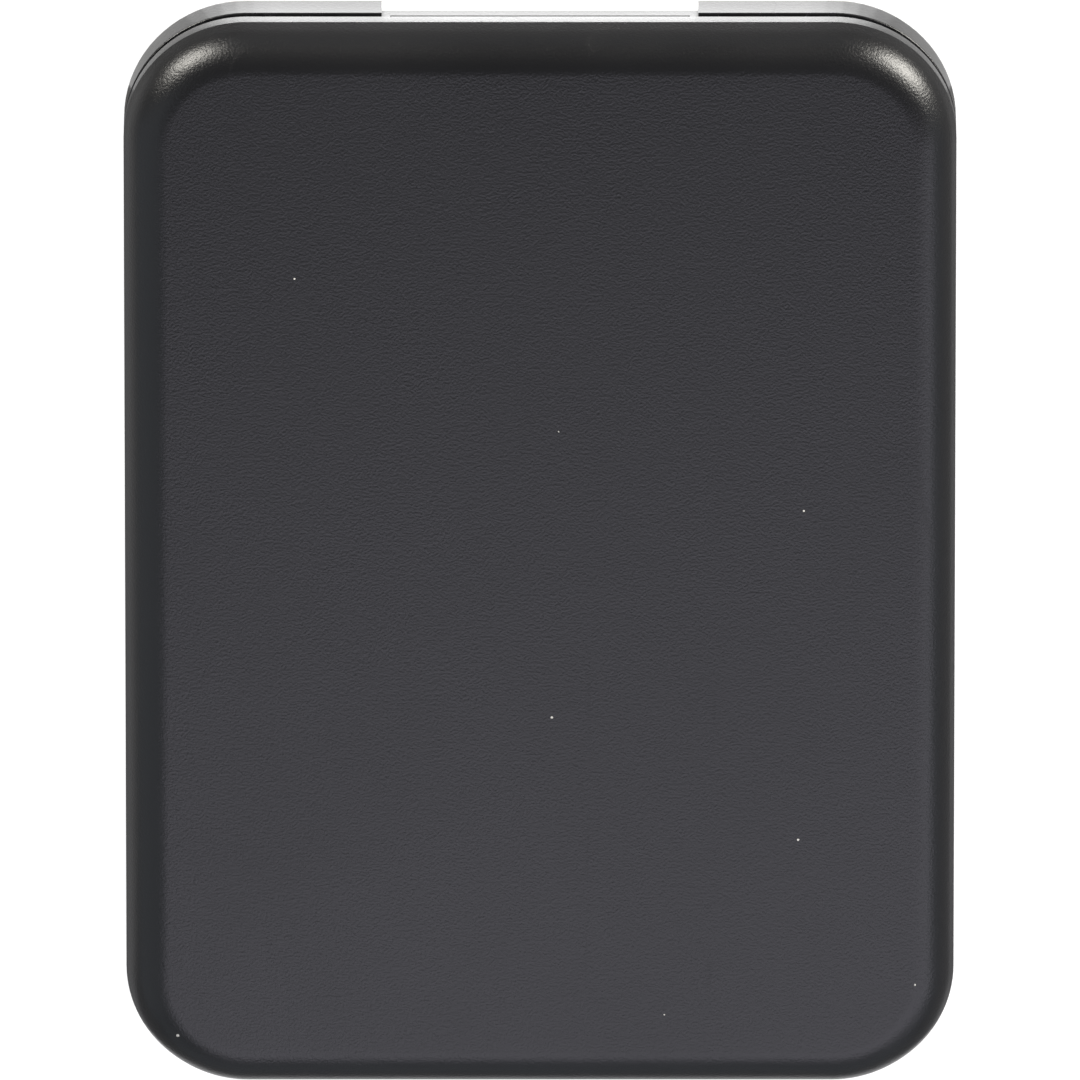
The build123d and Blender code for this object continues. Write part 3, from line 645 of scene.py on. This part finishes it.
epoxy = package_material("chip_epoxy", (0.018, 0.018, 0.019), (0.032, 0.032, 0.034), 0.55,
                         0.08 * mm, 0.006 * mm)
ferrite = package_material("ferrite", (0.035, 0.034, 0.034), (0.07, 0.068, 0.066), 0.6,
                           0.15 * mm, 0.01 * mm)
tantalum = package_material("tantalum_case", (0.55, 0.3, 0.05), (0.68, 0.4, 0.08), 0.42,
                            0.12 * mm, 0.005 * mm)
ceramic = package_material("fired_ceramic", (0.3, 0.2, 0.12), (0.42, 0.3, 0.19), 0.5,
                           0.06 * mm, 0.004 * mm)
silicone = package_material("thermal_silicone", (0.25, 0.35, 0.45), (0.32, 0.42, 0.52), 0.7,
                            0.2 * mm, 0.01 * mm)
led_body = package_material("led_body", (0.7, 0.7, 0.66), (0.82, 0.82, 0.78), 0.4,
                            0.1 * mm, 0.003 * mm, Subsurface_Weight=0.1)
lid_metal = metal("nickel_lid", (0.5, 0.5, 0.48), (0.64, 0.63, 0.6), 0.25, 0.2 * mm, 0.002 * mm)
anodised = metal("anodised_fins", (0.05, 0.05, 0.055), (0.085, 0.085, 0.09), 0.45, 0.1 * mm, 0.005 * mm)
chips = ["fpga_chip", "memory_chip", "flash_chip", "usb_controller_chip", "voltage_regulators",
         "surge_arrays", "input_resistor_arrays"] + [f"input_buffer_{number}" for number in range(1, 5)]
for name in chips:
    eased(name, 0.04 * mm, epoxy, "chip_package")
eased("power_inductors", 0.08 * mm, ferrite, "ferrite")
eased("bulk_capacitors", 0.1 * mm, tantalum, "tantalum")
eased("ceramic_capacitors", 0.04 * mm, ceramic, "ceramic_part")
eased("thermal_pad", 0.06 * mm, silicone, "thermal_pad")
eased("heat_sink", 0.08 * mm, anodised, "heat_sink")
eased("clock_oscillator", 0.05 * mm, lid_metal, "metal_lid")
eased("usb_crystal", 0.05 * mm, lid_metal, "metal_lid")
eased("status_led", 0.04 * mm, led_body, "led")


# ---- Probe connector -----------------------------------------------------------------------
# Two rows of square gold-plated pins in a block of black glass-filled plastic, which the probe
# lead's plug slides on to through the panel's shroud.
gold = metal("gold_plate", (0.78, 0.53, 0.17), (0.92, 0.68, 0.28), 0.22, 0.06 * mm, 0.002 * mm)
glass_filled = package_material("glass_filled_plastic", (0.014, 0.014, 0.014), (0.026, 0.026, 0.026),
                                0.48, 0.1 * mm, 0.006 * mm, IOR=1.55)
eased("probe_header_pins", 0.04 * mm, gold, "gold_contact")
eased("probe_header_housing", 0.06 * mm, glass_filled, "connector_plastic")


# ---- USB-C socket --------------------------------------------------------------------------
# A shell drawn in nickel-plated steel round a black tongue with a row of gold contacts on
# each face.
nickel = metal("nickel_plate", (0.52, 0.51, 0.49), (0.66, 0.65, 0.62), 0.24, 0.15 * mm, 0.003 * mm)
eased("usb_socket_shell", 0.06 * mm, nickel, "socket_steel")
eased("usb_socket_tongue", 0.06 * mm, glass_filled, "connector_plastic")
paint("usb_socket_contacts", gold)


# ---- Capture button and switch -------------------------------------------------------------
# A cap in dark grey plastic that slides in the panel's hole, the plunger that it pushes, and
# the tiny switch soldered behind it.
button_plastic = black_plastic("button_plastic", (0.045, 0.046, 0.049), 0.42, 0.3 * mm, 0.01 * mm,
                               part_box("button_cap")[1].z)
eased("button_cap", 0.1 * mm, button_plastic, "button", "capture_button")
eased("switch_plunger", 0.06 * mm, glass_filled, "connector_plastic", "capture_button")
eased("switch_body", 0.06 * mm, glass_filled, "connector_plastic")


# ---- Light pipe ----------------------------------------------------------------------------
# A clear polycarbonate rod that carries the status light out through the panel, with a lightly
# frosted end.
def pipe_material():
    """Clear plastic with a frosted, slightly wavy surface."""
    material, tree, shader, where = new_material(
        "light_pipe", {"Base Color": (0.93, 0.95, 0.96, 1.0), "IOR": 1.58, "Transmission Weight": 0.85})
    texture = effect_node(tree, grain, {"Place": where, "Grain": 0.15 * mm, "Patch": 1 * mm})
    tree.links.new(spread(tree, texture["Mottle"], 0.3, 0.7, 0.15, 0.3), shader.inputs["Roughness"])
    raise_bump(tree, shader, texture["Height"], 0.5, 0.006 * mm)
    return material


eased("light_pipe", 0.05 * mm, pipe_material(), "light_pipe")


# ---- End panels ----------------------------------------------------------------------------
# The two connector panels are separate black mouldings that drop into the tray's windows and
# are held by ribs in front and by the cover above.
panel_plastic = black_plastic("panel_plastic", case_black, 0.36, 0.3 * mm, 0.014 * mm, lip_top)
eased("probe_port_panel", 0.12 * mm, panel_plastic, "port_panel")
eased("usb_port_panel", 0.12 * mm, panel_plastic, "port_panel")


# ---- Top cover -----------------------------------------------------------------------------
# The upper half of the case, in the same black ABS: a flat face, a shoulder that rounds over
# and leans out to a crisp crease, a short wall, and four pillars that take the inserts.
cover_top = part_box("top_cover")[1].z
seam_gap, cover_wall_height, face_thickness = 0.9 * mm, 1.7 * mm, 1.7 * mm
cover_rim = tray_rim + seam_gap
cover_crease = cover_rim + cover_wall_height
ceiling = cover_top - face_thickness
shoulder_width = 4.26 * mm
flank_angle = 72.0
rebate_inset = 0.8 * mm
rebate_top = lip_top + 0.2 * mm


def cover_shell():
    """The cover's profile, from the middle of its face, over the shoulder, down the wall, round
    the rim and back under the ceiling. The shoulder is an arc that runs straight on into a flank,
    and the crease between flank and wall has a small radius."""
    lean = math.radians(flank_angle)
    spare = shoulder_width * math.tan(lean) - (cover_top - cover_crease)
    over = spare / (math.sin(lean) * math.tan(lean) - 1 + math.cos(lean))
    rise = small_edge * math.tan((math.pi / 2 - lean) / 2)
    profile = core(cover_top, True)
    profile += [(shoulder_width + 1.5 * mm, cover_top, 1.0)]
    profile += bend((shoulder_width, cover_top - over), over, 90, 90 - flank_angle, 28)
    profile += bend((small_edge, cover_crease - rise), small_edge, 90 - flank_angle, 0)
    profile += bend((small_edge, cover_rim + small_edge), small_edge, 0, -90)
    profile += [(rebate_inset, cover_rim, 1.0), (rebate_inset, rebate_top, 1.0)]
    inner_crease = cover_crease - (cover_top - ceiling)
    profile += [(wall + (rebate_top - inner_crease) / math.tan(lean), rebate_top, 1.0)]
    profile += bend((wall + shoulder_width, ceiling - over), over, 90 - flank_angle, 90, 16)
    profile += core(ceiling, False)
    return rings(rounded_outline(half_width, half_length, corner_radius, 28, 20), profile)


def pillar(middle):
    """Pillar under the ceiling with a stepped bore, closed as one turned solid."""
    outer, bore, tip, hub = 3.2 * mm, 1.9 * mm, 1.4 * mm, 0.05 * mm
    insert_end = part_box("threaded_inserts")[1].z
    tip_end = insert_end + 0.6 * mm
    profile = [(outer - hub, tip_end, 1.0), (outer - tip, tip_end, 1.0), (outer - tip, insert_end, 1.0),
               (outer - bore, insert_end, 1.0), (outer - bore, board_top, 1.0), (0.0, board_top, 1.0),
               (0.0, ceiling + sunk, 1.0), (outer - hub, ceiling + sunk, 1.0)]
    return rings(round_outline(outer), profile, middle)


cover = add_mesh("cover_shell", cover_shell())
carve(cover, "UNION", "pillars", *[pillar(place_xy) for place_xy in screw_places])
cover.data.shade_smooth()
cover.data.set_sharp_from_angle(angle=math.radians(40))
dusty_share = 0.16
cover_plastic = black_plastic("cover_plastic", case_black, 0.3, 0.24 * mm, 0.042 * mm, cover_crease,
                              dusty_share)
place(cover, cover_plastic, "case", "cover_shell", "top_cover")


# ---- Floor, lights and camera --------------------------------------------------------------
# A plain pale table, one large soft box over the near end, a lower soft light on each far side,
# four faint room walls and bright cards at floor level. None of it is part of the object.
def floor_material():
    """Pale matt table top, lit up where it is seen directly so that it stays white."""
    material, tree, shader, _ = new_material(
        "pale_floor", {"Base Color": (0.25, 0.25, 0.25, 1.0), "Roughness": 0.9,
                       "Specular IOR Level": 0.0, "Emission Strength": 0.9})
    seen = add_node(tree, "ShaderNodeLightPath").outputs["Is Camera Ray"]
    glow = tint(tree, seen, (0.0, 0.0, 0.0, 1.0), (1.0, 1.0, 1.0, 1.0))
    tree.links.new(glow, shader.inputs["Emission Color"])
    return material


floor_reach, floor_level = 3.0, -0.02 * mm
floor_corners = [(side_x * floor_reach, side_y * floor_reach, floor_level)
                 for side_x, side_y in ((-1, -1), (1, -1), (1, 1), (-1, 1))]
floor = add_mesh("pale_floor", (np.array(floor_corners), [[0, 1, 2, 3]]))
floor.data.materials.append(floor_material())

world = bpy.data.worlds.new("studio")
bpy.context.scene.world = world
world.use_nodes = True
sky = world.node_tree
backdrop = sky.nodes["Background"]
backdrop.inputs["Color"].default_value = (1.0, 1.0, 1.0, 1.0)
room_light, seen_light = 0.1, 1.0
ray = add_node(sky, "ShaderNodeLightPath")
sky.links.new(spread(sky, ray.outputs["Is Camera Ray"], 0.0, 1.0, room_light, seen_light),
              backdrop.inputs["Strength"])


def soft_light(name, location, aim, size, radiance, colour):
    """Rectangular light that faces a point, with an even glow of the given radiance."""
    lamp = bpy.data.lights.new(name, "AREA")
    lamp.shape = "RECTANGLE"
    lamp.size, lamp.size_y = size
    lamp.energy = radiance * math.pi * size[0] * size[1]
    lamp.color = colour
    light = bpy.data.objects.new(name, lamp)
    light.location = location
    light.rotation_euler = (Vector(aim) - Vector(location)).to_track_quat("-Z", "Y").to_euler()
    light.visible_camera = False
    bpy.context.scene.collection.objects.link(light)


cool_white, warm_white, plain_white = (0.9, 0.98, 1.08), (1.0, 0.97, 0.9), (1.0, 1.0, 1.0)
violet_white = (0.97, 0.95, 1.08)
above = Vector((0.28, -0.31, 0.42))
soft_light("overhead_box", above, (above.x, above.y, 0.0), (0.84, 0.37), 1.84, violet_white)
box_rise, box_distance = math.radians(17.0), 0.8
for name, side_angle, size, radiance in (("right_box", 55.0, (0.38, 0.44), 26.0),
                                         ("left_box", -43.0, (0.34, 0.38), 21.0)):
    turn, level = math.radians(side_angle), math.cos(box_rise)
    aim = Vector((0.0, half_length, cover_top))
    direction = Vector((math.sin(turn) * level, math.cos(turn) * level, math.sin(box_rise)))
    soft_light(name, aim + box_distance * direction, aim, size, radiance, warm_white)
room_walls = [("left_wall", (-0.9, -0.35, 0.6), (1.1, 1.5), 0.5),
              ("right_wall", (0.95, -0.35, 0.35), (1.1, 0.7), 0.35),
              ("near_wall", (0.0, -0.95, 0.3), (1.5, 0.6), 0.45),
              ("far_wall", (0.0, 1.1, 0.17), (0.9, 0.34), 0.25)]
for name, location, size, radiance in room_walls:
    soft_light(name, location, (0.0, 0.0, 0.0), size, radiance, cool_white)
card_height, beside, strip = 0.3 * mm, 0.1 * mm, 7 * mm
near_out, near_under, apron_half, apron_from, apron_out = 16 * mm, 5 * mm, 28 * mm, 8 * mm, 70 * mm
end_under, end_out, far_out = 9 * mm, 1.6 * mm, 4.6 * mm
end_glow, far_glow, bay_reach = 3.6, 5.7, 33 * mm
whole_length = (-half_length, half_length)
cards = [
    ("right_card", (half_width + beside, half_width + strip), whole_length, 0.15),
    ("left_card", (-half_width - strip, -half_width - beside), whole_length, 0.1),
    ("near_card", (-half_width, half_width), (-half_length - near_out, -half_length + near_under), 0.75),
    ("far_apron", (-apron_half, apron_half), (half_length + apron_from, half_length + apron_out), 0.15),
    ("left_apron", (-half_width - apron_out, -half_width - strip), whole_length, 0.3),
]
steps = np.concatenate([[0.0, 15 * mm, 26 * mm], np.linspace(27.5 * mm, half_width + end_out, 9)])
fade_places = [0.0, 14 * mm, 16 * mm, 27 * mm, 31 * mm, 33 * mm, 35.5 * mm, 39 * mm]
end_fade = [1.35, 1.35, 1.0, 0.92, 0.6, 0.38, 0.22, 0.18]
far_fade = [1.0, 1.0, 1.0, 0.92, 0.6, 0.32, 0.12, 0.03]
for step, (x_low, x_high) in enumerate(zip(steps, steps[1:])):
    end_share, far_share = (np.interp((x_low + x_high) / 2, fade_places, fade)
                            for fade in (end_fade, far_fade))
    for side in (-1, 1):
        across = tuple(sorted((side * x_low, side * x_high)))
        near = bay_face + beside if x_high < bay_reach else half_length - end_under
        cards.append((f"end_card_{step}_{side + 1}", across, (near, half_length + end_out),
                      end_glow * end_share))
        cards.append((f"far_card_{step}_{side + 1}", across,
                      (half_length + end_out, half_length + far_out), far_glow * far_share))
for name, (x_low, x_high), (y_low, y_high), radiance in cards:
    middle = Vector(((x_low + x_high) / 2, (y_low + y_high) / 2, card_height))
    overhead = middle + Vector((0.0, 0.0, 1.0))
    soft_light(name, middle, overhead, (x_high - x_low, y_high - y_low), radiance, plain_white)

camera_tilt = math.radians(20)
camera_distance = 4.04
case_share_of_frame = 0.768704
frame_width = 2 * half_width / case_share_of_frame
frame_drop = 0.17 * mm
top_edge = ((half_length - bottom_edge_radius) * math.cos(camera_tilt)
            - (tray_bottom + bottom_edge_radius) * math.sin(camera_tilt) + bottom_edge_radius)
near_edge = -half_length * math.cos(camera_tilt) - cover_crease * math.sin(camera_tilt)
frame_middle = (top_edge + near_edge) / 2 + frame_drop
aim_y = (frame_middle + cover_crease * math.sin(camera_tilt)) / math.cos(camera_tilt)
camera_data = bpy.data.cameras.new("camera")
camera_data.sensor_width = 36.0
camera_data.lens = camera_data.sensor_width * camera_distance / frame_width
camera_data.clip_start, camera_data.clip_end = 0.1, 50.0
camera = bpy.data.objects.new("camera", camera_data)
camera.location = (0.0, aim_y + camera_distance * math.sin(camera_tilt),
                   cover_crease + camera_distance * math.cos(camera_tilt))
camera.rotation_euler = (-camera_tilt, 0.0, 0.0)
bpy.context.scene.collection.objects.link(camera)
bpy.context.scene.camera = camera
bpy.context.scene.view_settings.view_transform = "Standard"
